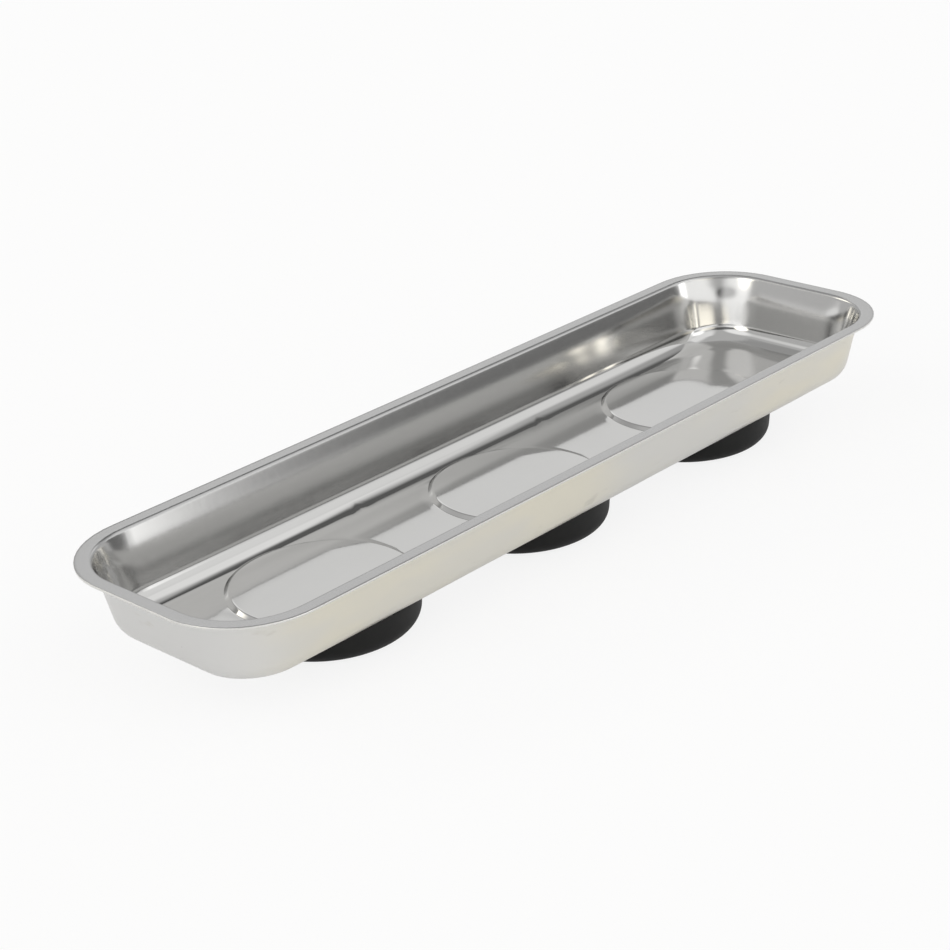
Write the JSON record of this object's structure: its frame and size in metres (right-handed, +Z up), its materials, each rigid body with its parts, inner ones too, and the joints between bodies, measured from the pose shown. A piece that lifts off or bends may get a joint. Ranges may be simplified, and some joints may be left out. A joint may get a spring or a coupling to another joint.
{
  "type": "magnetic parts tray",
  "caption": "Long shallow tray drawn from thin stainless sheet, with a flat flange round its rim, standing on a row of round rubber-covered magnet feet seated under raised discs in its floor.",
  "frame": {"origin": "under the middle of the tray, on the face that the feet stand on", "axes": "+X along the tray's length, +Y across it, +Z up out of the pan's mouth"},
  "size_m": [0.36, 0.1, 0.0408],
  "materials": {
    "stainless_sheet": "bright drawn stainless sheet, half polished inside, satin outside",
    "black_rubber": "matt moulded black rubber",
    "ferrite": "dull pressed ferrite",
    "plated_steel": "zinc plated steel",
    "bonding_foam": "white double-sided foam"
  },
  "bodies": {
    "root": {"pan": "stainless_sheet", "boot_left": "black_rubber", "boot_middle": "black_rubber", "boot_right": "black_rubber", "ring_magnet_left": "ferrite", "ring_magnet_middle": "ferrite", "ring_magnet_right": "ferrite", "steel_plate_left": "plated_steel", "steel_plate_middle": "plated_steel", "steel_plate_right": "plated_steel", "foam_pad_left": "bonding_foam", "foam_pad_middle": "bonding_foam", "foam_pad_right": "bonding_foam"}
  },
  "joints": []
}
